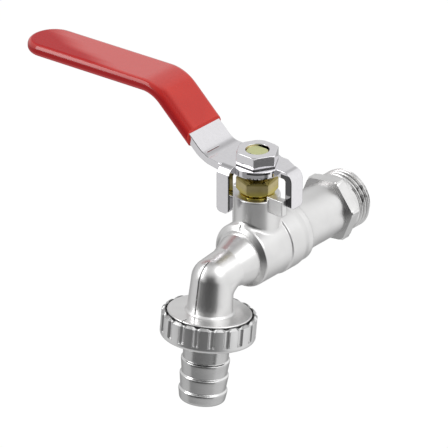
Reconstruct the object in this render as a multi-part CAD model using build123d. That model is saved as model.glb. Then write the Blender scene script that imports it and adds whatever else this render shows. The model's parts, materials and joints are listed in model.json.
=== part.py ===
from build123d import *
from math import atan2, cos, radians, sin, tan
import os

# Hose tap with a quarter-turn ball valve, in millimetres, +Z up.
# The inlet thread runs along +Y into the wall fitting, the spout points along -Y and turns down, and the
# lever at rest points along -X, across the pipe, with the valve closed.
# The origin is on the inlet axis, where the thread starts behind the hexagon.

# Inlet connector: a G 1/2 outside thread (drawn as its plain major cylinder), a hexagon and a round neck
inlet_thread_r = 20.955 / 2
inlet_thread_length = 8.4
inlet_thread_chamfer = 0.8
inlet_bore_r = 6.6
inlet_bore_depth = 22.0
connector_hex_across = 21.0
connector_hex_length = 4.0
connector_hex_chamfer = 0.35
connector_hex_turn = -8.0
connector_neck_r = 9.4
connector_neck_length = 14.5
connector_flare_length = 5.4
connector_rim_r = 10.5

# Valve chamber
ball_r = 7.75
valve_bore_r = 4.6
cavity_r = 9.0
seat_thickness = 2.8
seat_back = 7.4
front_wall = 1.5
stem_setback = 16.2
collar_rear_r = 10.8
collar_r = 11.7
collar_length = 11.4
collar_taper = 4.6
chamber_r = 11.25
chamber_step = 0.5
chamber_round = 1.5
seal_width = 1.2
seal_length = 1.6

# Stem neck on top of the chamber, with the lug that stops the lever at both ends of its turn
neck_r = 7.8
neck_top = 20.4
neck_round = 0.5
cast_fillet = 1.6
lug_reach = 13.2
lug_front = 3.1
lug_width = 2.4
lug_bottom = 16.6
lug_top = 22.2
rib_reach = 10.7
rib_width = 3.0
rib_bottom = 4.0

# Stem, packing and gland
stem_r = 4.0
stem_collar_r = 5.4
stem_collar_height = 2.3
tang_thickness = 2.9
tang_width = 7.0
tang_depth = 3.4
thrust_washer_height = 1.0
neck_web = 1.6
packing_r = 5.75
packing_height = 1.8
gland_across = 12.2
gland_height = 6.2
gland_turn = 40.0
gland_lift = 0.3
gland_foot = 1.6
gland_chamfer = 0.8
stem_flats = 5.8
stem_end_chamfer = 0.5

# Lever: a bent steel strip with two ears turned down, and its dipped vinyl grip
lever_seat = 29.4
lever_thickness = 2.5
lever_half_width = 7.7
lever_hub_r = 8.7
flare_half_width = 9.2
lever_reach = 97.8
lever_foot_x = 17.1
lever_knee_x = 38.4
lever_rise = 18.9
lever_droop = 2.2
lever_foot_bend = 8.0
lever_knee_bend = 13.0
ear_bend = 1.0
front_ear_width = 5.0
front_ear_bottom = 15.4
end_ear_width = 6.0
end_ear_bottom = 18.7
end_ear_face_x = 15.0
ear_corner = 1.6
shoulder_run = 4.7
grip_coat = 0.95
grip_round = 1.9
grip_start_x = 23.0

# Handle nut, M8
handle_nut_across = 13.0
handle_nut_height = 4.5
handle_nut_chamfer = 0.4
handle_nut_foot = 0.2

# Spout, leaning forwards as it goes down, and its outlet with a G 3/4 outside thread
spout_reach = 23.0
spout_fall = 2.4
spout_lean = 7.3
spout_r = 7.1
spout_root_r = 8.9
spout_root_length = 6.5
spout_foot_r = 7.7
spout_inside_bend = 9.6
spout_inside_inset = 0.05
waterway_bend = 7.6
spout_fillet = 0.7
disc_drop = 11.6
disc_rim = 0.98
disc_thickness = 1.5
disc_chamfer = 0.3
outlet_thread_r = 26.441 / 2
outlet_thread_length = 3.6
outlet_bore_r = 5.6
outlet_bore_depth = 8.9

# Hose union: hand nut, washer and barbed tail
union_wall = 1.5
union_lip = 1.2
union_sink = 0.4
union_round = 1.1
union_top_chamfer = 0.7
groove_count = 19
groove_turn = 9.0
groove_r = 1.2
groove_depth = 0.8
groove_mouth = 0.9
groove_end = 1.9
tail_washer_height = 1.4
tail_flange_r = 12.0
tail_flange_height = 1.3
tail_neck_r = 8.0
tail_valley_r = 7.65
tail_crest_r = 8.2
tail_bore_r = 5.4
barb_count = 3
barb_pitch = 5.42
barb_land = 0.6
barb_rise = 0.45
barb_round = 0.15
barb_first = 17.1
tail_tip_length = 4.1
tail_tip_round = 1.2

# Clearances
thread_gap = 0.05
running_gap = 0.06
ball_gap = 0.15
slide_gap = 0.3
stop_gap = 0.1
lip_gap = 0.1

# Places along the inlet axis, worked out from the sizes above
seam_y = -(connector_hex_length + connector_neck_length + connector_flare_length)
stem_y = seam_y - stem_setback
front_y = stem_y - seat_back - front_wall
spout_y = stem_y - spout_reach

# Heights on the stem axis
stem_collar_bottom = cavity_r + slide_gap
collar_top = stem_collar_bottom + stem_collar_height
web_bottom = collar_top + thrust_washer_height
packing_floor = web_bottom + neck_web
gland_bottom = packing_floor + 2 * packing_height
gland_hex_bottom = neck_top + gland_lift
lever_top = lever_seat + lever_thickness
nut_top = lever_top + handle_nut_height
stem_top = nut_top - stem_end_chamfer

# Places of the ears about the stem: each meets its side of the lug at one end of the turn
front_ear_x = -(lug_front + stop_gap + front_ear_width / 2)
end_ear_y = lug_width - lug_front + stop_gap + end_ear_width / 2
end_ear_bend_x = end_ear_face_x - ear_bend - lever_thickness

# The hand nut's rim closes round the spout's disc, which stands out beyond the outlet thread
disc_r = outlet_thread_r + disc_rim
union_r = disc_r + slide_gap + union_wall

# Distances down the outlet axis from the corner of the spout
disc_bottom = disc_drop + disc_thickness
outlet_end = disc_bottom + outlet_thread_length
flange_top = outlet_end + tail_washer_height
flange_bottom = flange_top + tail_flange_height
union_top = disc_drop + union_sink
lip_top = flange_bottom + lip_gap
union_bottom = lip_top + union_lip

# Frames: local Z runs along the inlet thread, up the stem, down the outlet, or out along the spout
inlet_frame = Plane((0, 0, 0), x_dir=(1, 0, 0), z_dir=(0, 1, 0))
stem_frame = Plane((0, stem_y, 0))
lean = radians(spout_lean)
outlet_frame = Plane((0, spout_y, -spout_fall), x_dir=(1, 0, 0), z_dir=(0, -sin(lean), -cos(lean)))
slope = atan2(spout_fall, spout_reach)
run_frame = Plane((0, stem_y, 0), x_dir=(1, 0, 0), z_dir=(0, -cos(slope), -sin(slope)))
run_length = spout_reach / cos(slope)
run_root = (stem_y - front_y) / cos(slope)


def turned(*outline):
    """Solid turned about Z from (radius, height) corners; a third number rounds that corner."""
    corners = [corner[:2] for corner in outline]
    rounds = [corner[2] if len(corner) > 2 else 0 for corner in outline]
    return revolve(Plane.XZ * make_face(FilletPolyline(*corners, radius=rounds, close=True)), Axis.Z)


def rod(radius, bottom, top):
    """Plain cylinder on Z."""
    return Pos(0, 0, bottom) * Cylinder(radius, top - bottom, align=(Align.CENTER, Align.CENTER, Align.MIN))


def ring(inner, outer, bottom, top):
    """Plain ring on Z."""
    return rod(outer, bottom, top) - rod(inner, bottom, top)


def block(x_from, x_to, y_from, y_to, z_from, z_to):
    """Box between two corners."""
    size = (x_to - x_from, y_to - y_from, z_to - z_from)
    return Pos(x_from, y_from, z_from) * Box(*size, align=(Align.MIN, Align.MIN, Align.MIN))


def hexagon(across, bottom, top, low_chamfer, high_chamfer):
    """Hexagonal prism on Z whose corners are turned off at 30 degrees at either end."""
    corner_r = across / 2 / cos(radians(30))
    prism = Pos(0, 0, bottom) * extrude(RegularPolygon(across / 2, 6, major_radius=False), top - bottom)
    low_r = corner_r - low_chamfer / tan(radians(30))
    high_r = corner_r - high_chamfer / tan(radians(30))
    envelope = turned(
        (0, bottom), (low_r, bottom), (corner_r, bottom + low_chamfer),
        (corner_r, top - high_chamfer), (high_r, top), (0, top),
    )
    return prism & envelope


def make_inlet_connector():
    """Threaded inlet end with its hexagon, neck and the spigot that screws into the chamber."""
    hex_front = -connector_hex_length
    neck_end = hex_front - connector_neck_length
    spigot_end = stem_y + seat_back
    turned_part = turned(
        (0, spigot_end), (cavity_r - thread_gap, spigot_end), (cavity_r - thread_gap, seam_y),
        (connector_rim_r, seam_y), (connector_neck_r, neck_end), (connector_neck_r, 0),
        (inlet_thread_r, 0), (inlet_thread_r, inlet_thread_length - inlet_thread_chamfer),
        (inlet_thread_r - inlet_thread_chamfer, inlet_thread_length), (0, inlet_thread_length),
    )
    wrench_hex = hexagon(connector_hex_across, hex_front, 0, connector_hex_chamfer, connector_hex_chamfer)
    bore_floor = inlet_thread_length - inlet_bore_depth
    taper = inlet_bore_r - valve_bore_r
    bore = turned(
        (0, spigot_end), (valve_bore_r, spigot_end), (valve_bore_r, bore_floor - taper),
        (inlet_bore_r, bore_floor), (inlet_bore_r, inlet_thread_length), (0, inlet_thread_length),
    )
    return inlet_frame * (turned_part + Rot(0, 0, connector_hex_turn) * wrench_hex - bore)


def make_connector_seal():
    """Flat ring in the mouth of the chamber, under the connector's shoulder."""
    return inlet_frame * ring(cavity_r, cavity_r + seal_width - thread_gap, seam_y - seal_length, seam_y)


def make_seat(side):
    """Seat ring with a face hollowed to the ball; side is +1 at the inlet and -1 at the spout."""
    near = seat_back - seat_thickness
    blank = ring(valve_bore_r, cavity_r - thread_gap, near, seat_back) - Sphere(ball_r + ball_gap)
    facing = Plane((0, stem_y, 0), x_dir=(1, 0, 0), z_dir=(0, side, 0))
    return facing * blank


def make_ball():
    """Ball with its bore across the pipe, as when closed, and the slot that takes the stem's tang."""
    bore = Rot(0, 90, 0) * rod(valve_bore_r, -ball_r, ball_r)
    slot_half = tang_thickness / 2 + running_gap
    slot_floor = stem_collar_bottom - tang_depth - slide_gap
    slot = block(-slot_half, slot_half, -ball_r, ball_r, slot_floor, ball_r)
    return stem_frame * (Sphere(ball_r) - bore - slot)


def make_stem():
    """Stem with tang, retaining collar, shaft, and the flats and thread that take the lever and its nut."""
    shaft = turned(
        (0, stem_collar_bottom), (stem_collar_r, stem_collar_bottom), (stem_collar_r, collar_top),
        (stem_r, collar_top), (stem_r, stem_top - stem_end_chamfer), (stem_r - stem_end_chamfer, stem_top),
        (0, stem_top),
    )
    tang_half = tang_thickness / 2
    tang_bottom = stem_collar_bottom - tang_depth
    tang = block(-tang_half, tang_half, -tang_width / 2, tang_width / 2, tang_bottom, stem_collar_bottom)
    flats = block(-stem_r, stem_r, -stem_flats / 2, stem_flats / 2, lever_seat, stem_top)
    return stem_frame * (shaft - (rod(2 * stem_r, lever_seat, stem_top) - flats) + tang)


def make_thrust_washer():
    """Low-friction washer between the stem's collar and the web of the neck."""
    return stem_frame * ring(stem_r + running_gap, stem_collar_r, collar_top, web_bottom)


def make_packing(level):
    """One packing ring; level counts up from the floor of the packing chamber."""
    bottom = packing_floor + level * packing_height
    return stem_frame * ring(stem_r + running_gap, packing_r, bottom, bottom + packing_height)


def make_gland_nut():
    """Brass gland nut: a hexagon above the neck and a shank that presses on the packing."""
    hex_top = gland_hex_bottom + gland_height
    head = Rot(0, 0, gland_turn) * hexagon(gland_across, gland_hex_bottom, hex_top, gland_foot, gland_chamfer)
    shank = rod(packing_r, gland_bottom, gland_hex_bottom)
    return stem_frame * (head + shank - rod(stem_r + running_gap, gland_bottom, hex_top))


def spout_tube(radius, bend):
    """Round bar swept from the stem along the spout, round a bend of this radius and down to the disc."""
    corner = (0, spout_y, -spout_fall)
    foot = (0, spout_y - disc_drop * sin(lean), -spout_fall - disc_drop * cos(lean))
    path = FilletPolyline((0, stem_y, 0), corner, foot, radius=[bend])
    return sweep(Plane(path @ 0, z_dir=path % 0) * Circle(radius), path=path)


def make_spout():
    """Outside of the spout: tapered root, round knuckle filled on the inside of the bend, and outlet."""
    run = run_frame * turned(
        (0, 0), (spout_root_r, 0), (spout_root_r, run_root), (spout_r, run_root + spout_root_length),
        (spout_r, run_length), (0, run_length),
    )
    knuckle = outlet_frame * Sphere(spout_r)
    foot = outlet_frame * turned(
        (0, 0), (spout_r, 0), (spout_foot_r, disc_drop - spout_fillet),
        (spout_foot_r + spout_fillet, disc_drop), (0, disc_drop),
    )
    inside = spout_tube(spout_r - spout_inside_inset, spout_inside_bend)
    outlet = outlet_frame * turned(
        (0, disc_drop), (disc_r - disc_chamfer, disc_drop), (disc_r, disc_drop + disc_chamfer),
        (disc_r, disc_bottom), (outlet_thread_r, disc_bottom), (outlet_thread_r, outlet_end), (0, outlet_end),
    )
    return run + knuckle + foot + inside + outlet


def make_valve_body():
    """One casting: chamber, stem neck with its stops, bent spout, outlet disc and outlet thread."""
    chamber = inlet_frame * rod(chamber_r, front_y - neck_r, seam_y)
    neck = stem_frame * turned((0, 0), (neck_r, 0), (neck_r, neck_top, neck_round), (0, neck_top))
    casting = chamber + neck
    casting = fillet(new_edges(chamber, neck, combined=casting), cast_fillet)
    casting = split(casting, Plane((0, front_y, 0), z_dir=(0, 1, 0)), keep=Keep.TOP)
    front_edges = casting.faces().sort_by(Axis.Y)[0].edges()
    casting = fillet(front_edges, chamber_round)

    collar_front = seam_y - collar_length
    casting += inlet_frame * turned(
        (0, seam_y), (collar_rear_r, seam_y), (collar_r, seam_y - collar_taper, collar_taper),
        (collar_r, collar_front + chamber_step), (chamber_r, collar_front), (0, collar_front),
    )

    lug = block(0, lug_reach, -lug_front, lug_width - lug_front, lug_bottom, lug_top)
    rib = block(-rib_reach, 0, 0, rib_width, rib_bottom, neck_top - neck_round)
    casting += stem_frame * (lug + rib)

    casting += make_spout()

    mouth = rod(cavity_r + seal_width, seam_y - seal_length, seam_y)
    cavity = inlet_frame * (rod(cavity_r, stem_y - seat_back, seam_y) + mouth)
    stem_hole = stem_frame * (
        rod(stem_collar_r + slide_gap, 0, web_bottom)
        + rod(stem_r + slide_gap, web_bottom, packing_floor)
        + rod(packing_r + thread_gap, packing_floor, neck_top)
        + rod(gland_across / 2 / cos(radians(30)) + slide_gap, neck_top, lug_top)
    )
    waterway = spout_tube(valve_bore_r, waterway_bend)
    outlet_bore = outlet_frame * rod(outlet_bore_r, outlet_end - outlet_bore_depth, outlet_end)
    return casting - cavity - stem_hole - waterway - outlet_bore


def lever_section(extra, reach):
    """Side view of the bent strip, in X and Z, thickened by extra on each face and ending at reach."""
    middle = lever_seat + lever_thickness / 2
    knee = (-lever_knee_x, middle + lever_rise)
    tip = (-reach, knee[1] - (reach - lever_knee_x) * tan(radians(lever_droop)))
    bends = [lever_foot_bend, lever_knee_bend]
    line = FilletPolyline((end_ear_face_x, middle), (-lever_foot_x, middle), knee, tip, radius=bends)
    half = lever_thickness / 2 + extra
    return Plane.XZ * make_face(line.wire().offset_2d(half, Kind.ARC, Side.BOTH))


def strip_plan(half_width, reach):
    """Plan of the arm: a straight strip with a round tip."""
    straight = reach - half_width
    bar = Pos(-straight / 2, 0) * Rectangle(straight, 2 * half_width)
    return bar + Pos(-straight, 0) * Circle(half_width)


def hub_plan():
    """Plan of the hub: a round plate round the stem that narrows into the tab of the end ear."""
    near = end_ear_y - end_ear_width / 2
    far = end_ear_y + end_ear_width / 2
    nose = Polyline(
        (0, near), (end_ear_bend_x, near), (end_ear_bend_x, far),
        (end_ear_bend_x - shoulder_run, lever_half_width), (0, lever_half_width), close=True,
    )
    ear_x = front_ear_x - front_ear_width / 2
    flare = Polyline(
        (ear_x, 0), (ear_x, -flare_half_width), (ear_x - ear_bend, -flare_half_width),
        (-lever_foot_x, -lever_half_width), (-lever_foot_x, 0), close=True,
    )
    return Circle(lever_hub_r) + make_face(nose) + make_face(flare)


def ear(width, bottom):
    """Ear turned down from the strip: local X points outwards from the bend and the ear is centred on Y."""
    outer = ear_bend + lever_thickness
    pivot = lever_seat - ear_bend
    leg = block(ear_bend, outer, -width / 2, width / 2, bottom, pivot)
    lower_edges = leg.edges().filter_by(Axis.X).group_by(Axis.Z)[0]
    leg = fillet(lower_edges, ear_corner)
    quarter = Rot(90, 0, 0) * ring(ear_bend, outer, -width / 2, width / 2)
    quarter &= block(0, outer, -width / 2, width / 2, 0, outer)
    return leg + Pos(0, 0, pivot) * quarter


def make_lever():
    """Lever stamped from one strip: round hub, two ears, raised arm and round tip."""
    span = 2 * lever_hub_r
    plan = strip_plan(lever_half_width, lever_reach) + hub_plan()
    height = lever_top + lever_rise + lever_thickness
    strip = extrude(lever_section(0, lever_reach), span, both=True) & extrude(plan, height)
    front_ear = Rot(0, 0, -90) * ear(front_ear_width, front_ear_bottom)
    front_ear = Pos(front_ear_x, -lever_half_width, 0) * front_ear
    end_ear = Pos(end_ear_bend_x, end_ear_y, 0) * ear(end_ear_width, end_ear_bottom)
    hole = rod(stem_r + thread_gap, lever_seat, lever_top)
    flat_half = stem_flats / 2 + thread_gap
    hole &= block(-2 * stem_r, 2 * stem_r, -flat_half, flat_half, lever_seat, lever_top)
    return stem_frame * (strip + front_ear + end_ear - hole)


def make_grip(lever):
    """Vinyl dipped over the arm, ending square across it."""
    half_width = lever_half_width + grip_coat
    reach = lever_reach + grip_coat
    height = lever_top + lever_rise + lever_thickness
    coat = extrude(lever_section(grip_coat, reach), half_width, both=True)
    coat &= extrude(strip_plan(half_width, reach), height)
    coat = fillet(coat.edges().filter_by(lambda edge: edge.center().X < -lever_foot_x), grip_round)
    coat &= block(-2 * reach, -grip_start_x, -2 * half_width, 2 * half_width, 0, height)
    return stem_frame * coat - lever


def make_handle_nut():
    """Hexagon nut that holds the lever on the stem."""
    blank = hexagon(handle_nut_across, lever_top, nut_top, handle_nut_foot, handle_nut_chamfer)
    return stem_frame * (blank - rod(stem_r + thread_gap, lever_top, nut_top))


def make_union_nut():
    """Hand nut with grip grooves, a recess round the spout's disc, a plain thread bore and a lip."""
    blank = turned(
        (0, union_top), (union_r - union_top_chamfer, union_top), (union_r, union_top + union_top_chamfer),
        (union_r, union_bottom, union_round), (0, union_bottom),
    )
    recess = rod(disc_r + slide_gap, union_top, disc_bottom + slide_gap)
    bore = rod(outlet_thread_r + running_gap, union_top, outlet_end + slide_gap)
    well = rod(tail_flange_r + slide_gap, union_top, lip_top)
    eye = rod(tail_crest_r + slide_gap, union_top, union_bottom)
    mouth = Pos(0, 0, union_top + groove_mouth / 2) * Cone(groove_r + groove_mouth, groove_r, groove_mouth)
    groove = rod(groove_r, union_top, union_bottom - groove_end) + mouth
    groove_places = PolarLocations(union_r + groove_r - groove_depth, groove_count, start_angle=groove_turn)
    return outlet_frame * (blank - recess - bore - well - eye - groove_places * groove)


def make_tail_washer():
    """Rubber washer between the spout's end and the tail's flange."""
    return outlet_frame * ring(outlet_bore_r, tail_flange_r, outlet_end, flange_top)


def make_hose_tail():
    """Hose tail: flange, plain neck and barbs that are widest at the top of each."""
    outline = [(0, flange_top), (tail_flange_r, flange_top), (tail_flange_r, flange_bottom)]
    outline += [(tail_neck_r, flange_bottom), (tail_neck_r, union_bottom)]
    for barb in range(barb_count):
        crest = disc_drop + barb_first + barb * barb_pitch
        outline += [(tail_valley_r, crest - barb_rise), (tail_crest_r, crest, barb_round)]
        outline += [(tail_crest_r, crest + barb_land)]
    tip = disc_drop + barb_first + (barb_count - 1) * barb_pitch + tail_tip_length
    outline += [(tail_valley_r, tip, tail_tip_round), (0, tip)]
    return outlet_frame * (turned(*outline) - rod(tail_bore_r, flange_top, tip))


lever = make_lever()
pieces = {
    "valve_body": make_valve_body(),
    "inlet_connector": make_inlet_connector(),
    "connector_seal": make_connector_seal(),
    "rear_seat": make_seat(1),
    "front_seat": make_seat(-1),
    "ball": make_ball(),
    "stem": make_stem(),
    "thrust_washer": make_thrust_washer(),
    "lower_packing": make_packing(0),
    "upper_packing": make_packing(1),
    "gland_nut": make_gland_nut(),
    "lever": lever,
    "grip": make_grip(lever),
    "handle_nut": make_handle_nut(),
    "union_nut": make_union_nut(),
    "tail_washer": make_tail_washer(),
    "hose_tail": make_hose_tail(),
}

os.makedirs("parts", exist_ok=True)
for name, piece in pieces.items():
    export_step(piece, f"parts/{name}.step")
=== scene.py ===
import json
import math

import bpy
from mathutils import Matrix, Vector


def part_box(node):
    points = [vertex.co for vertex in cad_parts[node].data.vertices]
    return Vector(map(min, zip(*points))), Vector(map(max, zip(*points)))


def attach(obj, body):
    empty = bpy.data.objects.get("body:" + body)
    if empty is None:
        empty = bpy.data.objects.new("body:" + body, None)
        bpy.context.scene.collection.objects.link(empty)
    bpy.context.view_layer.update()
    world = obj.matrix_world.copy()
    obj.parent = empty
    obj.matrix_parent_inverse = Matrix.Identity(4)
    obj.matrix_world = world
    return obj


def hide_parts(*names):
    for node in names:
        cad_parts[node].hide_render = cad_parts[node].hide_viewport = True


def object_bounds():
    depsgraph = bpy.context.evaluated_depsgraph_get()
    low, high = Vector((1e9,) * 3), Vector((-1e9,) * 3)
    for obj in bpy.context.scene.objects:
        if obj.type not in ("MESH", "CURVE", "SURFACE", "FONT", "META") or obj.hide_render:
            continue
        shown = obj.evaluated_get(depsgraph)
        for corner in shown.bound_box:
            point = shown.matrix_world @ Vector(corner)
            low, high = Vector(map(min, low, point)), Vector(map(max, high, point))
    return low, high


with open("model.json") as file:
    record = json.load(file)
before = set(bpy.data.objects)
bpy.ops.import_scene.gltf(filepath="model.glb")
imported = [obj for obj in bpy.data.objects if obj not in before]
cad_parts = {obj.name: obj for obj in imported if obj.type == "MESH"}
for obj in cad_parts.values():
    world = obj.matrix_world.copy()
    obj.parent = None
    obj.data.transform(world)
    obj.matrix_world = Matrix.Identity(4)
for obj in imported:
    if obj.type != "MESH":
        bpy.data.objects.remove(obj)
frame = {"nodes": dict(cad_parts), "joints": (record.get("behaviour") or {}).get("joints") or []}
cad_low, cad_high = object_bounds()

# Sizes are in metres, and MM turns the maker's millimetres into them
MM = 0.001
joints = {joint["name"]: joint for joint in frame["joints"]}
stem_axis = Vector(joints["lever_turn"]["pos_m"])
outlet_axis = Vector(joints["union_turn"]["axis"])
outlet_start = Vector(joints["union_turn"]["pos_m"])

# Inlet connector in millimetres, along +Y from the start of its thread
thread_r = 20.955 / 2
thread_end = 8.4
thread_chamfer = 0.8
thread_pitch = 1.814
thread_depth = 1.16
thread_plain = 1.4
thread_fade = 1.6
thread_crest = 0.12
thread_root = 0.88
hex_across = 21.0
hex_length = 4.0
hex_chamfer = 0.35
hex_corner_angle = 8
neck_r = 9.4
neck_end = -18.5
rim_r = 10.5
rim_end = -23.9
spigot_r = 8.95
spigot_end = -32.7
bore_r = 6.6
bore_end = -13.6
throat_r = 4.6
# Where the painted shade in the thread's roots ends, and where the scuffs on the thread lie
root_shade_end = 7.7
scuff_start = 1.2
scuff_angle = 26
scuff_half_angle = 22

# How finely the connector is drawn, and the sharpest edge in degrees that is still shaded smooth
ring_steps = 180
thread_rows = 260
smooth_limit = 28

# Marks on the body, from the foot of the stem's axis: the mould line down the spout, the short tick above it,
# and the chamber's front shoulder, which is shaded as a cone between the spout's root and its own rim
parting_width = 0.36 * MM
parting_front = -24 * MM
parting_low = -12.4 * MM
parting_high = 4.4 * MM
tick_front = -7.2 * MM
tick_low = 9.4 * MM
tick_high = 11.6 * MM
shoulder_y = -8.4 * MM
shoulder_half = 0.8 * MM
shoulder_root = (8.9 * MM, 9.2 * MM)
shoulder_rim = (10.7 * MM, 11.15 * MM)
shoulder_slope = math.radians(30)

# Marks on the lever, from the same foot: the press mark across the bend of the arm, the painted dark edge
# beside it, the hub's rim with its painted dark lines and the way that it faces, the painted shadow under the
# nut, and the painted shade on the two ears' faces
lever_thickness = 2.5 * MM
press_x = -16.5 * MM
press_y = -3.2 * MM
press_width = 0.3 * MM
press_half_length = (2.6 * MM, 3.4 * MM)
arm_edge_x = -19 * MM
arm_edge_half = 4.8 * MM
arm_front = -7 * MM
rim_facing = Vector((0.64, -0.77))
rim_reach = 5 * MM
rim_middle = 0.4 * MM
rim_half = 3.9 * MM
rim_line_drop = 0.65 * MM
nut_shadow_half = 8 * MM
end_ear_x = 10.5 * MM
end_ear_front = -0.6 * MM
front_ear_side = -3.2 * MM
front_ear_y = -10.8 * MM

# Where the grip's colour and gloss change, from the same foot: the tip's painted dark reflection, the front
# edge with its painted shade, the knee and the gloss
tip_reflection_lean = 0.39
tip_reflection_waver = 8 * MM
tip_reflection_end = (-31 * MM, -23 * MM)
grip_front = (-7.2 * MM, -4.5 * MM)
grip_knee = (-40 * MM, -34 * MM)
grip_gloss = (-80 * MM, -45 * MM)

# Where the gland nut's brass changes, from its top: deeper low down, and a painted shadow ring under the hub
gland_low = (-5 * MM, -2.6 * MM)
gland_shadow_ring = -0.3 * MM
gland_shadow_half = 0.9 * MM

chrome_clear = (0.835, 0.825, 0.85, 1)
chrome_hazed = (0.86, 0.85, 0.875, 1)
brass_clean = (0.58, 0.49, 0.24, 1)
brass_tarnished = (0.46, 0.38, 0.17, 1)
brass_low = (0.60, 0.50, 0.10, 1)
brass_hub_shadow = (0.24, 0.19, 0.03, 1)
brass_sawn = (0.56, 0.58, 0.30, 1)
vinyl_deep = (0.48, 0.026, 0.019, 1)
vinyl_pale = (0.54, 0.033, 0.022, 1)
# Painted light on the grip: painted sheen on top, a painted dark reflection at the tip, painted shade on the
# front edge and sides, painted light on the end and a painted floor reflection underneath
vinyl_top_sheen = (0.465, 0.047, 0.042, 1)
vinyl_tip_reflection = (0.34, 0.010, 0.012, 1)
vinyl_front_shade = (0.30, 0.008, 0.008, 1)
vinyl_side_shade = (0.27, 0.008, 0.010, 1)
vinyl_end_lit = (0.60, 0.045, 0.035, 1)
vinyl_under_reflection = (0.52, 0.060, 0.065, 1)

# Where the photograph was taken from
camera_azimuth = math.radians(40)
camera_elevation = math.radians(27.5)
camera_distance = 1.6
image_pixels = 448
pixels_per_metre = 3000
stem_pixel = Vector((257, 246.8))

view_right = Vector((math.cos(camera_azimuth), math.sin(camera_azimuth), 0))
view_forward = Vector((math.sin(camera_azimuth), -math.cos(camera_azimuth), 0))
view_back = Vector((
    math.sin(camera_azimuth) * math.cos(camera_elevation),
    -math.cos(camera_azimuth) * math.cos(camera_elevation),
    math.sin(camera_elevation),
))
view_up = view_back.cross(view_right)

# The room: a pale floor well below the tap, with dark cards on it that only show in polished metal.
# Each card has its turn from the camera and half its width in degrees, its near and far edge in metres,
# and how dark it is
floor_drop = 0.36
floor_half = 30
floor_shadow = 0.1
floor_white = 1.07
floor_tones = (0.66, 0.92)
floor_tone_behind = 0.6
dark_cards = {
    "front_card": (-19, 51, 1.05, 30.0, 0.96),
    "near_card": (-12, 58, 0.60, 1.00, 0.58),
    "right_card": (40, 9, 0.66, 0.94, 0.85),
}
card_blur = 5

# The walls and ceiling as metal shows them, and a dark stand near the camera with its turn in degrees
room_tones = (0.64, 0.94)
ceiling_tone = 0.6
stand_turn = -12
stand_half = (18, 42)
stand_top = (0.4, 0.8)
stand_darkness = 0.9

# Each panel of light has its place from the stem, the way that its length lies, its width and length
# in metres, and its power in watts
panels = {
    "right_panel": (Vector((0.62, 0.17, 0.77)), Vector((0, 0, 1)), 0.80, 0.80, 2.2),
    "left_panel": (Vector((-0.57, -0.61, 0.55)), Vector((0, 0.67, 0.74)), 0.45, 0.90, 4.0),
}


class Wire:
    """A node's output that can stand in a sum: each operator adds one Math node to its tree."""

    def __init__(self, tree, socket):
        self.tree = tree
        self.socket = socket

    def calc(self, operation, *values):
        return self.tree.add("ShaderNodeMath", values, operation=operation)

    def __add__(self, other):
        return self.calc("ADD", self, other)

    __radd__ = __add__

    def __sub__(self, other):
        return self.calc("SUBTRACT", self, other)

    def __rsub__(self, other):
        return self.calc("SUBTRACT", other, self)

    def __mul__(self, other):
        return self.calc("MULTIPLY", self, other)

    __rmul__ = __mul__

    def __truediv__(self, other):
        return self.calc("DIVIDE", self, other)

    def __gt__(self, other):
        return self.calc("GREATER_THAN", self, other)

    def __lt__(self, other):
        return self.calc("LESS_THAN", self, other)

    def __abs__(self):
        return self.calc("ABSOLUTE", self)

    def near(self, target, half):
        """1 within half of the target, and 0 elsewhere."""
        return abs(self - target) < half

    def around(self, target, inner, outer):
        """1 within inner of the target, falling smoothly to 0 at outer from it."""
        return abs(self - target).step(inner, outer, 1, 0)

    def step(self, low, high, start=0.0, end=1.0):
        """Goes smoothly from start to end while this value goes from low to high."""
        sockets = (self, low, high, start, end)
        return self.tree.add("ShaderNodeMapRange", sockets, interpolation_type="SMOOTHSTEP")

    def span(self, other):
        """Distance from an axis, where this and the other value are the two distances across it."""
        return self.calc("SQRT", self * self + other * other)

    def turn_from(self, ahead):
        """Angle in degrees, where this value is the distance to the side and ahead is 0 degrees."""
        return self.calc("ARCTAN2", self, ahead) * math.degrees(1)


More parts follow.
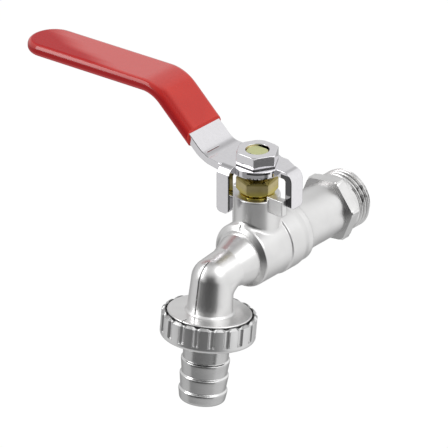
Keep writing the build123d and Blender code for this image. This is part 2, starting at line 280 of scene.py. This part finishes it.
class Tree:
    """A node tree with one way to add a node: first its settings, then its sockets' values or wires."""

    def __init__(self, node_tree):
        self.nodes = node_tree.nodes
        self.links = node_tree.links
        self.nodes.clear()

    def add(self, kind, sockets=(), out=0, **settings):
        node = self.nodes.new(kind)
        for name, value in settings.items():
            setattr(node, name, value)
        pairs = sockets.items() if isinstance(sockets, dict) else enumerate(sockets)
        for key, value in pairs:
            if isinstance(value, Wire):
                self.links.new(value.socket, node.inputs[key])
            else:
                node.inputs[key].default_value = value
        return Wire(self, node.outputs[out]) if node.outputs else None

    def place(self):
        """The surface point in the object's own frame, which is the part's frame."""
        return self.add("ShaderNodeTexCoord", out="Object")

    def every_output(self, wire):
        """All the outputs of the node that this wire comes from."""
        return [Wire(self, socket) for socket in wire.socket.node.outputs]

    def axes(self, vector):
        """The X, Y and Z of a vector."""
        return self.every_output(self.add("ShaderNodeSeparateXYZ", (vector,)))

    def offset(self, start):
        """The surface point as a vector from this start."""
        return self.add("ShaderNodeVectorMath", (self.place(), start), operation="SUBTRACT")

    def from_outlet(self):
        """Distance along the outlet's axis from its start, and from that axis."""
        offset = self.offset(outlet_start)
        along = self.dot(offset, outlet_axis)
        whole = self.dot(offset, offset)
        return along, along.calc("SQRT", whole - along * along)

    def from_stem(self):
        """The surface point's three distances from the foot of the stem's axis."""
        return self.axes(self.offset(stem_axis))

    def dot(self, vector, direction):
        return self.add("ShaderNodeVectorMath", (vector, direction), out="Value", operation="DOT_PRODUCT")

    def own_direction(self, normal):
        """A normal in the object's own frame, so that it turns with its piece."""
        frames = {"convert_from": "WORLD", "convert_to": "OBJECT"}
        return self.add("ShaderNodeVectorTransform", (normal,), vector_type="NORMAL", **frames)

    def stretched(self, vector, scale):
        return self.add("ShaderNodeMapping", {"Vector": vector, "Scale": scale})

    def noise(self, vector, scale, detail=2.0):
        return self.add("ShaderNodeTexNoise", {"Vector": vector, "Scale": scale, "Detail": detail})

    def turning_lines(self, along, scale):
        """Fine lines round an axis, from the distance along it."""
        sockets = {"W": along * scale, "Scale": 1.0, "Detail": 2.0}
        return self.add("ShaderNodeTexNoise", sockets, noise_dimensions="1D")

    def blend(self, share, first, second):
        """The first colour, with this share of the second."""
        return self.add("ShaderNodeMix", {0: share, 6: first, 7: second}, out=2, data_type="RGBA")

    def soft_edges(self, radius):
        """Normal with the sharp edges of the metal broken to this radius."""
        return self.add("ShaderNodeBevel", {"Radius": radius}, samples=8)

    def bump(self, height, distance, strength=1.0, normal=None):
        sockets = {"Strength": strength, "Distance": distance, "Height": height}
        if normal is not None:
            sockets["Normal"] = normal
        return self.add("ShaderNodeBump", sockets)

    def surface(self, sockets):
        shader = self.add("ShaderNodeBsdfPrincipled", sockets)
        self.add("ShaderNodeOutputMaterial", {"Surface": shader})


def grey(level, warmth=0.0):
    """A grey as a colour, a little warmer where warmth is above 0."""
    return (level * (1 + warmth), level, level * (1 - warmth), 1)


def new_material(name):
    """A material with an empty node tree, and that tree."""
    made = bpy.data.materials.new(name)
    made.use_nodes = True
    return made, Tree(made.node_tree)


def mould_line(tree):
    """The line that the two halves of the mould left down the front of the spout, and its tick above."""
    x, y, z = tree.from_stem()
    ragged = tree.noise(tree.place(), 900, 3)
    front = (y < parting_front) * (z < parting_high) * (z > parting_low)
    tick = (y < tick_front) * (z > tick_low) * (z < tick_high)
    line = x.around(0, 0.3 * parting_width, parting_width) * (front + tick)
    return line * ragged.step(0.2, 0.45)


def turned_shoulder(tree, normal):
    """Normal with the front shoulder of the chamber turned to a cone, from the spout's root to its rim."""
    x, y, z = tree.from_stem()
    radius = x.span(z)
    ring = radius.step(*shoulder_root) * radius.step(*shoulder_rim, 1, 0)
    front = y.near(shoulder_y, shoulder_half)
    outward = math.sin(shoulder_slope)
    cone = (x / radius * outward, -math.cos(shoulder_slope), z / radius * outward)
    cone = tree.add("ShaderNodeCombineXYZ", cone)
    return tree.add("ShaderNodeMix", {0: ring * front, 4: normal, 5: cone}, out=1, data_type="VECTOR")


def thread_shade_and_scuffs(tree):
    """Painted shade in the roots of the inlet thread and on the hexagon's shoulder, with scuffs on one side
    of the thread.
    """
    x, y, z = tree.axes(tree.place())
    radius = x.span(z)
    root_r = (thread_r - 0.45 * thread_depth) * MM
    roots = radius.step(root_r - 0.1 * MM, root_r + 0.1 * MM, 1, 0) * (radius > neck_r * 0.95 * MM)
    roots = roots * (y > thread_plain * MM) * (y < root_shade_end * MM)
    shoulder = y.near(-hex_length * MM, 0.05 * MM) * (radius > neck_r * MM)
    blots = tree.noise(tree.stretched(tree.place(), (1, 2.2, 1)), 480, 2).step(0.55, 0.62)
    scuffs = blots * z.turn_from(x).near(scuff_angle, scuff_half_angle) * (y > scuff_start * MM)
    return roots * 0.45 + shoulder * 0.5 + scuffs * 0.6


def satin_nickel(name, edge, marks, mark_depth, turned=None):
    """Plated metal, blasted and brushed: fine grain, a cloudy tone and its own dark marks."""
    made, tree = new_material(name)
    place = tree.place()
    grain = tree.noise(place, 2600, 3)
    cloud = tree.noise(place, 130, 2)
    strokes = tree.noise(tree.stretched(place, (1, 1, 0.12)), 1500, 2)
    # The marks darken the colour: on the body the mould line, and on the connector painted shade in the
    # thread roots and on the hexagon's shoulder, with scuffs
    dark = marks(tree)
    normal = tree.soft_edges(edge)
    if turned:
        normal = turned(tree, normal)
    normal = tree.bump(grain * 0.6 + strokes, 0.002 * MM, 0.5, normal)
    normal = tree.bump(1 - dark, mark_depth, 1.0, normal)
    plate = tree.blend(cloud.step(0.3, 0.7), grey(0.78, 0.004), grey(0.83, 0.004))
    tree.surface({
        "Base Color": tree.blend(dark * 0.85, plate, grey(0.05)),
        "Metallic": 1.0,
        "Roughness": 0.285 + 0.02 * grain + 0.015 * cloud,
        "Normal": normal,
    })
    return made


def dull_nickel(name, tone, roughness, edge, painted_shoulder_share, painted_shoulder_tone, shaded_inside_r):
    """Turned and plated hose fittings: turning lines round the outlet, painted light or shade on the
    shoulders that face back along the outlet, and painted shade inside the bore.
    """
    made, tree = new_material(name)
    place = tree.place()
    grain = tree.noise(place, 2200, 3)
    cloud = tree.noise(place, 150, 2)
    along, radius = tree.from_outlet()
    lines = tree.turning_lines(along, 9000)
    normal = tree.soft_edges(edge)
    shoulder = tree.dot(normal, -outlet_axis).step(0.2, 0.5)
    normal = tree.bump(lines + grain * 0.5, 0.003 * MM, 0.5, normal)
    plate = tree.blend(cloud.step(0.3, 0.7), grey(tone * 0.96), grey(tone * 1.04))
    plate = tree.blend(shoulder * painted_shoulder_share, plate, grey(painted_shoulder_tone))
    tree.surface({
        "Base Color": tree.blend(radius < shaded_inside_r, plate, grey(0.03)),
        "Metallic": 1.0,
        "Roughness": roughness + 0.12 * grain,
        "Normal": normal,
    })
    return made


def painted_edge_shade(tree, normal, seat, top):
    """Painted dark reflections and painted shade on the lever: the arm's edge, the hub's rim and the ears,
    with a painted shadow under the nut.
    """
    x, y, z = tree.from_stem()
    sideways, upward = tree.axes(tree.own_direction(normal))[1:]
    arm_edge = sideways.around(-0.55, 0.35, 0.42) * (upward > 0.05)
    arm_edge = arm_edge * x.near(arm_edge_x, arm_edge_half) * (y < arm_front)
    ragged = tree.noise(tree.place(), 1500, 2).step(0.4, 0.55)
    ahead = rim_facing.x * x + rim_facing.y * y
    aside = rim_facing.x * y - rim_facing.y * x
    rim = (ahead > rim_reach) * aside.near(rim_middle, rim_half)
    rim_line = rim * z.around(top - rim_line_drop, 0.15 * MM, 0.45 * MM)
    rim_low_shade = rim * z.around(seat, 0.2 * MM, 0.6 * MM) * ragged
    nut_foot_shadow = (z > top + 0.002 * MM) * (z - top).step(0.3 * MM, 0.7 * MM, 1, 0) * x.near(0, nut_shadow_half)
    end_ear = (x > end_ear_x) * y.near(end_ear_front, 0.2 * MM) * (z < top - 1 * MM)
    front_ear = x.near(front_ear_side, 0.2 * MM) * y.near(front_ear_y, 0.35 * MM) * (z < seat)
    return rim_line + rim_low_shade + nut_foot_shadow + end_ear * 0.92 + front_ear + arm_edge * 0.9


def bright_chrome(seat, top):
    """Polished plate on pressed steel, with a faint ripple and the press mark across the bend of the arm."""
    made, tree = new_material("bright_chrome")
    place = tree.place()
    ripple = tree.noise(place, 160, 2)
    haze = tree.noise(place, 900, 3)
    x, y, z = tree.from_stem()
    mark = x.around(press_x, 0, press_width) * y.around(press_y, *press_half_length) * (z > seat)
    rounded = tree.soft_edges(0.4 * MM)
    normal = tree.bump(ripple, 0.012 * MM, 0.5, rounded)
    normal = tree.bump(1 - mark, 0.12 * MM, 1.0, normal)
    plate = tree.blend(haze.step(0.35, 0.65), chrome_clear, chrome_hazed)
    # The press mark is real. The rest of the dark is painted shade and painted dark reflections, with a
    # painted shadow under the nut
    dark = mark * 0.75 + painted_edge_shade(tree, rounded, seat, top)
    tree.surface({
        "Base Color": tree.blend(dark, plate, grey(0.05)),
        "Metallic": 1.0,
        "Roughness": 0.05 + 0.05 * haze,
        "Normal": normal,
    })
    return made


def turned_brass(end_height, gland_top):
    """Bare brass with turning marks, deeper low on the gland and with a painted shadow ring at its top under
    the hub; the stem's sawn end is paler and duller.
    """
    made, tree = new_material("turned_brass")
    place = tree.place()
    height = tree.axes(place)[2]
    end = height > end_height
    rings = tree.turning_lines(height, 7000)
    tarnish = tree.noise(place, 260, 3)
    gold = tree.blend(tarnish.step(0.35, 0.7), brass_clean, brass_tarnished)
    from_top = height - gland_top
    gold = tree.blend(from_top.step(*gland_low, 0.85, 0), gold, brass_low)
    # Painted shadow ring under the hub at the gland's top
    gold = tree.blend(from_top.near(gland_shadow_ring, gland_shadow_half) * 0.7, gold, brass_hub_shadow)
    tree.surface({
        "Base Color": tree.blend(end, gold, brass_sawn),
        "Metallic": 1.0 - end * 0.45,
        "Roughness": 0.08 + 0.06 * tarnish + end * 0.35,
        "Normal": tree.bump(rings, 0.004 * MM, 0.6, tree.soft_edges(0.45 * MM)),
    })
    return made


def red_vinyl():
    """Dipped vinyl with dimples and runs: a painted sheen on top, a painted dark reflection at the tip,
    painted shade along the front edge and down its sides, and painted light on its end and underside.
    """
    made, tree = new_material("red_vinyl")
    place = tree.place()
    x, y = tree.from_stem()[:2]
    directions = tree.axes(tree.add("ShaderNodeTexCoord", out="Normal"))
    outward, upward = directions[0], directions[2]
    dimples = tree.noise(place, 700, 2)
    runs = tree.noise(tree.stretched(place, (0.12, 1, 1)), 260, 2)
    cloud = tree.noise(place, 60, 2)
    top = upward.step(0.82, 0.98)
    tip_dark_reflection = (y + tip_reflection_lean * x + tip_reflection_waver * runs).step(*tip_reflection_end, 1, 0) * top
    front = y.step(*grip_front, 1, 0) * (1 - top)
    slope = x.step(*grip_knee)
    covered = outward.step(0.7, 0.8, 1, 0)
    gloss = x.step(*grip_gloss, 1, 0.6)
    coat = upward.step(0.1, 0.45) * (1 - 0.9 * tip_dark_reflection) * (gloss + (1 - gloss) * top)
    red = tree.blend(cloud.step(0.3, 0.7), vinyl_deep, vinyl_pale)
    # Painted sheen on top, painted dark reflection at the tip, painted shade on the front edge and sides,
    # painted light on the end and underside
    red = tree.blend(top * (1 - tip_dark_reflection), red, vinyl_top_sheen)
    red = tree.blend(tip_dark_reflection, red, vinyl_tip_reflection)
    red = tree.blend(front * 0.7, red, vinyl_front_shade)
    red = tree.blend(upward.step(0.3, 0.66, 0.9, 0) * covered, red, vinyl_side_shade)
    red = tree.blend(1 - covered, red, vinyl_end_lit)
    tree.surface({
        "Base Color": tree.blend(upward.step(-0.6, 0.1, 1, 0) * covered, red, vinyl_under_reflection),
        "Roughness": 0.20 + 0.1 * runs,
        "Specular IOR Level": 0.12,
        "Coat Weight": coat * (1 - front * slope),
        "Coat IOR": 1.55,
        "Coat Roughness": 0.07,
        "Normal": tree.bump(runs * 0.7 + dimples * 0.3, 0.012 * MM, 0.4),
    })
    return made


def moulded(name, pale, dark, roughness):
    """Seals and seats inside: one moulded tone with a fine mottle."""
    made, tree = new_material(name)
    mottle = tree.noise(tree.place(), 900, 3)
    tree.surface({
        "Base Color": tree.blend(mottle.step(0.3, 0.7), pale, dark),
        "Roughness": roughness + 0.15 * mottle,
        "Normal": tree.bump(mottle, 0.02 * MM, 0.4),
    })
    return made


def dress(material, *nodes):
    """Gives the pieces a material in place of the one that they came with."""
    for node in nodes:
        slots = frame["nodes"][node].data.materials
        slots.clear()
        slots.append(material)


def set_camera():
    """A long lens at the photograph's angle, with the stem's axis at its pixel of the photograph."""
    data = bpy.data.cameras.new("photograph")
    data.sensor_width = 36
    data.lens = pixels_per_metre * camera_distance / image_pixels * data.sensor_width
    data.clip_end = 50
    from_centre = (stem_pixel - Vector((image_pixels, image_pixels)) / 2) / pixels_per_metre
    aim = Vector((0, stem_axis.y, 0)) - view_right * from_centre.x + view_up * from_centre.y
    camera = bpy.data.objects.new("photograph", data)
    camera.location = aim + view_back * camera_distance
    camera.rotation_mode = "QUATERNION"
    camera.rotation_quaternion = (-view_back).to_track_quat("-Z", "Y")
    bpy.context.scene.collection.objects.link(camera)
    bpy.context.scene.camera = camera


def floor_paint():
    """White to the camera; reflections see it fall off towards the left, with the dark cards lying on it."""
    made, tree = new_material("floor_paint")
    camera = tree.add("ShaderNodeLightPath", out="Is Camera Ray")
    glossy = tree.add("ShaderNodeLightPath", out="Is Glossy Ray")
    through = tree.add("ShaderNodeLightPath", out="Is Transmission Ray")
    from_tap = tree.offset(stem_axis)
    side = tree.dot(from_tap, view_right)
    ahead = tree.dot(from_tap, view_forward)
    reach = side.span(ahead)
    turn = side.turn_from(ahead)
    level = side.step(0, 0.9, *floor_tones) * abs(turn).step(105, 150, 1, floor_tone_behind)
    for middle, half, near, far, darkness in dark_cards.values():
        width = turn.around(middle, half - card_blur, half + card_blur)
        length = reach.step(near * 0.8, near * 1.2) * reach.step(far * 0.8, far * 1.2, 1, 0)
        level = level * (1 - width * length * darkness)
    shown = camera * floor_white + (1 - camera) * level
    colour = tree.add("ShaderNodeCombineColor", (shown, shown, shown))
    shade = tree.add("ShaderNodeBsdfDiffuse", {"Color": grey(0.45)})
    glow = tree.add("ShaderNodeEmission", {"Color": colour, "Strength": 1.0})
    seen = side.calc("MAXIMUM", camera * (1 - floor_shadow), glossy + through)
    mixed = tree.add("ShaderNodeMixShader", {0: seen, 1: shade, 2: glow})
    tree.add("ShaderNodeOutputMaterial", {"Surface": mixed})
    return made


def lay_floor():
    """One wide flat face below the tap."""
    height = cad_low.z - floor_drop
    corners = [(-1, -1), (1, -1), (1, 1), (-1, 1)]
    mesh = bpy.data.meshes.new("floor")
    mesh.from_pydata([(x * floor_half, y * floor_half, height) for x, y in corners], [], [range(4)])
    mesh.materials.append(floor_paint())
    floor = bpy.data.objects.new("floor", mesh)
    bpy.context.scene.collection.objects.link(floor)


def paint_room():
    """The world: white, but metal sees it fall off to the left and overhead, with the dark stand in front."""
    world = bpy.data.worlds.new("white_room")
    world.use_nodes = True
    bpy.context.scene.world = world
    tree = Tree(world.node_tree)
    toward = tree.add("ShaderNodeTexCoord", out="Generated")
    glossy = tree.add("ShaderNodeLightPath", out="Is Glossy Ray")
    side = tree.dot(toward, view_right)
    height = tree.dot(toward, Vector((0, 0, 1)))
    ahead = tree.dot(toward, view_forward)
    overhead = 0.87 * height - 0.5 * ahead
    level = side.step(-0.5, 1, *room_tones) * overhead.step(0.85, 0.97, 1, ceiling_tone)
    stand = side.turn_from(ahead).around(stand_turn, *stand_half) * height.step(*stand_top, 1, 0)
    shown = 1 - glossy * (1 - level * (1 - stand_darkness * stand))
    colour = tree.add("ShaderNodeCombineColor", (shown, shown, shown))
    glow = tree.add("ShaderNodeBackground", {"Color": colour, "Strength": 1.0})
    tree.add("ShaderNodeOutputWorld", {"Surface": glow})


def hang_panels():
    """The panels of light, each facing the stem."""
    for name, (place, along, width, length, power) in panels.items():
        data = bpy.data.lights.new(name, "AREA")
        data.shape = "RECTANGLE"
        data.size = width
        data.size_y = length
        data.energy = power
        lamp = bpy.data.objects.new(name, data)
        lamp.location = stem_axis + place
        outward = place.normalized()
        across = along.cross(outward).normalized()
        turned = Matrix((across, outward.cross(across), outward)).transposed()
        lamp.rotation_mode = "QUATERNION"
        lamp.rotation_quaternion = turned.to_quaternion()
        bpy.context.scene.collection.objects.link(lamp)


def hexagon_r(angle):
    """Distance from the axis to the hexagon's side at this angle in degrees."""
    from_flat = (angle - hex_corner_angle) % 60 - 30
    return hex_across / 2 / math.cos(math.radians(from_flat))


def connector_rows():
    """Closed outline of the connector as (y, radius), where a radius may depend on the angle."""
    corner_r = hex_across / 2 / math.cos(math.radians(30))
    eased_r = corner_r - hex_chamfer / math.tan(math.radians(30))

    def eased(angle):
        return min(hexagon_r(angle), eased_r)

    straight_end = thread_end - thread_chamfer
    rows = [(spigot_end, throat_r), (spigot_end, spigot_r), (rim_end, spigot_r), (rim_end, rim_r)]
    rows += [(neck_end, neck_r), (-hex_length, neck_r), (-hex_length, eased)]
    rows += [(hex_chamfer - hex_length, hexagon_r), (-hex_chamfer, hexagon_r), (0, eased)]
    for row in range(thread_rows + 1):
        y = thread_end * row / thread_rows
        rows.append((y, thread_r - max(0, y - straight_end)))
    rows += [(thread_end, bore_r), (bore_end, bore_r), (bore_end - bore_r + throat_r, throat_r)]
    return rows


def connector_blank():
    """The connector before its thread is cut."""
    rows = connector_rows()
    points = []
    for y, radius in rows:
        for step in range(ring_steps):
            angle = hex_corner_angle + 360 * step / ring_steps
            r = radius(angle) if callable(radius) else radius
            turn = math.radians(angle)
            points.append((r * math.cos(turn) * MM, y * MM, r * math.sin(turn) * MM))
    faces = []
    for row in range(len(rows)):
        after = (row + 1) % len(rows)
        for step in range(ring_steps):
            beside = (step + 1) % ring_steps
            faces.append((
                row * ring_steps + step, after * ring_steps + step,
                after * ring_steps + beside, row * ring_steps + beside,
            ))
    mesh = bpy.data.meshes.new("connector_blank")
    mesh.from_pydata(points, [], faces)
    return mesh


def thread_cutter(material):
    """Geometry nodes that cut a right-hand thread into the wall beyond the plain length."""
    group = bpy.data.node_groups.new("thread_cutter", "GeometryNodeTree")
    face = group.interface
    face.new_socket("Geometry", in_out="INPUT", socket_type="NodeSocketGeometry")
    for name in ("Pitch", "Depth", "Wall", "Plain", "Fade"):
        face.new_socket(name, in_out="INPUT", socket_type="NodeSocketFloat")
    face.new_socket("Geometry", in_out="OUTPUT", socket_type="NodeSocketGeometry")

    tree = Tree(group)
    blank, pitch, depth, wall, plain, fade = tree.every_output(tree.add("NodeGroupInput"))[:6]
    x, y, z = tree.axes(tree.add("GeometryNodeInputPosition"))
    turn = x.calc("ARCTAN2", x, z)
    phase = y.calc("FRACT", y / pitch - turn / math.tau)
    flank = abs(phase - 0.5) * 2
    root = flank.step(thread_crest, thread_root)
    radius = x.span(z)
    cut = root * depth * y.step(plain, plain + fade) * (radius > wall)
    share = -1 * cut / radius
    offset = tree.add("ShaderNodeCombineXYZ", (x * share, 0.0, z * share))
    moved = tree.add("GeometryNodeSetPosition", {"Geometry": blank, "Offset": offset})
    real = tree.add("GeometryNodeRealizeInstances", {"Geometry": moved})
    dressed = tree.add("GeometryNodeSetMaterial", {"Geometry": real, "Material": material})
    tree.add("NodeGroupOutput", (dressed,))
    return group


def make_connector(material):
    """The inlet connector with its thread, in place of the plain one."""
    blank = bpy.data.objects.new("connector_blank", connector_blank())
    bpy.context.scene.collection.objects.link(blank)
    group = thread_cutter(material)
    modifier = blank.modifiers.new("thread", "NODES")
    modifier.node_group = group
    sizes = {"Pitch": thread_pitch, "Depth": thread_depth, "Wall": neck_r}
    sizes.update({"Plain": thread_plain, "Fade": thread_fade})
    for socket in group.interface.items_tree:
        if socket.in_out == "INPUT" and socket.name in sizes:
            modifier[socket.identifier] = sizes[socket.name] * MM
    evaluated = blank.evaluated_get(bpy.context.evaluated_depsgraph_get())
    mesh = bpy.data.meshes.new_from_object(evaluated)
    bpy.data.objects.remove(blank)
    mesh.shade_smooth()
    mesh.set_sharp_from_angle(angle=math.radians(smooth_limit))
    made = bpy.data.objects.new("threaded_connector", mesh)
    bpy.context.scene.collection.objects.link(made)
    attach(made, "body")
    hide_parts("inlet_connector")


bpy.context.scene.view_settings.view_transform = "Standard"
set_camera()
lay_floor()
paint_room()
hang_panels()

cast_nickel = satin_nickel("cast_nickel", 0.45 * MM, mould_line, 0.2 * MM, turned_shoulder)
turned_nickel = satin_nickel("turned_nickel", 0.12 * MM, thread_shade_and_scuffs, 0.01 * MM)
# The nut's back-facing shoulders are painted darker as painted shade
nut_nickel = dull_nickel(
    "nut_nickel", tone=0.78, roughness=0.26, edge=0.2 * MM,
    painted_shoulder_share=0.8, painted_shoulder_tone=0.42, shaded_inside_r=14.9 * MM,
)
# The tail's barb shoulders are painted lighter as a painted highlight
tail_nickel = dull_nickel(
    "tail_nickel", tone=0.60, roughness=0.14, edge=0.45 * MM,
    painted_shoulder_share=0.7, painted_shoulder_tone=0.97, shaded_inside_r=6.0 * MM,
)
lever_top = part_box("handle_nut")[0].z
stem_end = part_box("stem")[1].z
gland_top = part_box("gland_nut")[1].z

dress(cast_nickel, "valve_body")
dress(turned_nickel, "inlet_connector")
dress(nut_nickel, "union_nut")
dress(tail_nickel, "hose_tail")
dress(bright_chrome(lever_top - lever_thickness, lever_top), "lever", "handle_nut", "ball")
dress(turned_brass(stem_end - 0.1 * MM, gland_top), "gland_nut", "stem")
dress(red_vinyl(), "grip")
dress(moulded("seat_plastic", grey(0.9), grey(0.84, 0.01), 0.35), "rear_seat", "front_seat", "thrust_washer")
dress(moulded("packing_plastic", grey(0.86), grey(0.78, 0.02), 0.45), "lower_packing", "upper_packing")
dress(moulded("black_rubber", grey(0.03), grey(0.045), 0.6), "connector_seal", "tail_washer")
make_connector(turned_nickel)
